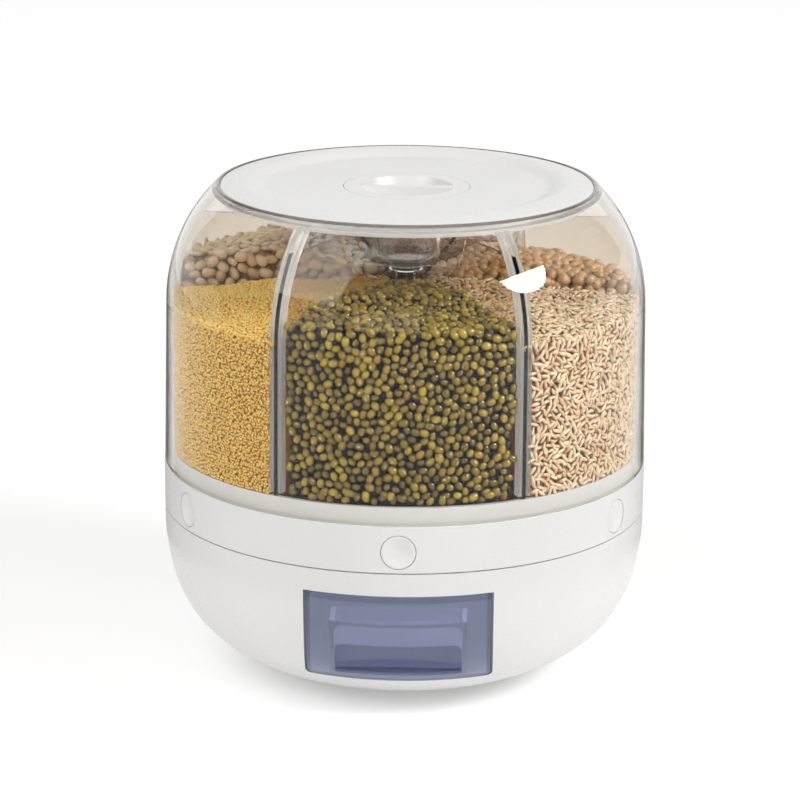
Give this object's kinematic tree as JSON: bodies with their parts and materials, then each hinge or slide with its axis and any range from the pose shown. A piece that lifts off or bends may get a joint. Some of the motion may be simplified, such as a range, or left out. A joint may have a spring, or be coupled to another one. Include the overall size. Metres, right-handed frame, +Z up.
{
  "type": "grain storage container",
  "caption": "Round countertop grain container: clear turning barrel with radial compartments and push buttons on a white bowl base with a pull-out drawer, closed by a white lid.",
  "frame": {"origin": "on the floor, under the centre of the base", "axes": "+Z up along the turning axis, the drawer and the first button face -Y"},
  "size_m": [0.23, 0.23, 0.236],
  "materials": {
    "white_plastic": "smooth white moulding",
    "inner_plastic": "plain white moulding",
    "clear_plastic": "clear, polished",
    "tinted_plastic": "blue-grey clear, polished",
    "rubber": "soft matt",
    "silicone": "translucent soft",
    "steel": "bright"
  },
  "bodies": {
    "base": {"base_bowl": "white_plastic", "base_deck": "inner_plastic", "deck_screws": "steel", "guide_screws": "steel", "drawer_guide_left": "inner_plastic", "drawer_guide_right": "inner_plastic", "spindle": "steel", "spindle_bolt": "steel", "spindle_washer": "steel", "spindle_screw": "steel", "foot_1": "rubber", "foot_2": "rubber", "foot_3": "rubber", "foot_4": "rubber"},
    "bearing": {"ball_cage": "inner_plastic", "race_balls": "steel"},
    "carousel": {"turntable_plate": "inner_plastic", "turntable_ring": "white_plastic", "funnel_tray": "white_plastic", "tray_screws": "steel", "barrel": "clear_plastic", "barrel_gasket": "silicone", "hub_column": "clear_plastic", "divider_1": "clear_plastic", "divider_2": "clear_plastic", "divider_3": "clear_plastic", "divider_4": "clear_plastic", "divider_5": "clear_plastic", "divider_6": "clear_plastic", "spring_1": "steel", "spring_2": "steel", "spring_3": "steel", "spring_4": "steel", "spring_5": "steel", "spring_6": "steel"},
    "lid": {"lid_plate": "white_plastic", "lid_seal": "silicone"},
    "knob": {"lid_knob": "white_plastic", "knob_retainer": "white_plastic", "desiccant_cup": "clear_plastic"},
    "drawer": {"drawer_cup": "tinted_plastic"},
    "dispenser_1": {"button_1": "white_plastic", "gate_1": "inner_plastic"},
    "dispenser_2": {"button_2": "white_plastic", "gate_2": "inner_plastic"},
    "dispenser_3": {"button_3": "white_plastic", "gate_3": "inner_plastic"},
    "dispenser_4": {"button_4": "white_plastic", "gate_4": "inner_plastic"},
    "dispenser_5": {"button_5": "white_plastic", "gate_5": "inner_plastic"},
    "dispenser_6": {"button_6": "white_plastic", "gate_6": "inner_plastic"}
  },
  "joints": [
    {"name": "carousel_spin", "type": "hinge", "parent": "base", "child": "carousel", "pos_m": [0, 0, 0.08], "axis": [0, 0, 1], "continuous": true},
    {"name": "bearing_spin", "type": "hinge", "parent": "base", "child": "bearing", "pos_m": [0, 0, 0.0767], "axis": [0, 0, 1], "continuous": true},
    {"name": "lid_lift", "type": "slide", "parent": "carousel", "child": "lid", "axis": [0, 0, 1], "range_m": [0, 0.08]},
    {"name": "knob_turn", "type": "hinge", "parent": "lid", "child": "knob", "pos_m": [0, 0, 0.231], "axis": [0, 0, 1], "range_deg": [0, 90]},
    {"name": "drawer_slide", "type": "slide", "parent": "base", "child": "drawer", "axis": [0, -1, 0], "range_m": [0, 0.1]},
    {"name": "button_1_press", "type": "slide", "parent": "carousel", "child": "dispenser_1", "axis": [0, 1, 0], "range_m": [0, 0.0086], "stiffness_N_per_m": 300, "springref_m": -0.004, "deforming": ["spring_1"]},
    {"name": "button_2_press", "type": "slide", "parent": "carousel", "child": "dispenser_2", "axis": [-0.866, 0.5, 0], "range_m": [0, 0.0086], "stiffness_N_per_m": 300, "springref_m": -0.004, "deforming": ["spring_2"]},
    {"name": "button_3_press", "type": "slide", "parent": "carousel", "child": "dispenser_3", "axis": [-0.866, -0.5, 0], "range_m": [0, 0.0086], "stiffness_N_per_m": 300, "springref_m": -0.004, "deforming": ["spring_3"]},
    {"name": "button_4_press", "type": "slide", "parent": "carousel", "child": "dispenser_4", "axis": [0, -1, 0], "range_m": [0, 0.0086], "stiffness_N_per_m": 300, "springref_m": -0.004, "deforming": ["spring_4"]},
    {"name": "button_5_press", "type": "slide", "parent": "carousel", "child": "dispenser_5", "axis": [0.866, -0.5, 0], "range_m": [0, 0.0086], "stiffness_N_per_m": 300, "springref_m": -0.004, "deforming": ["spring_5"]},
    {"name": "button_6_press", "type": "slide", "parent": "carousel", "child": "dispenser_6", "axis": [0.866, 0.5, 0], "range_m": [0, 0.0086], "stiffness_N_per_m": 300, "springref_m": -0.004, "deforming": ["spring_6"]}
  ],
  "couplings": [
    {"joint": "bearing_spin", "follows": "carousel_spin", "ratio": 0.5}
  ]
}
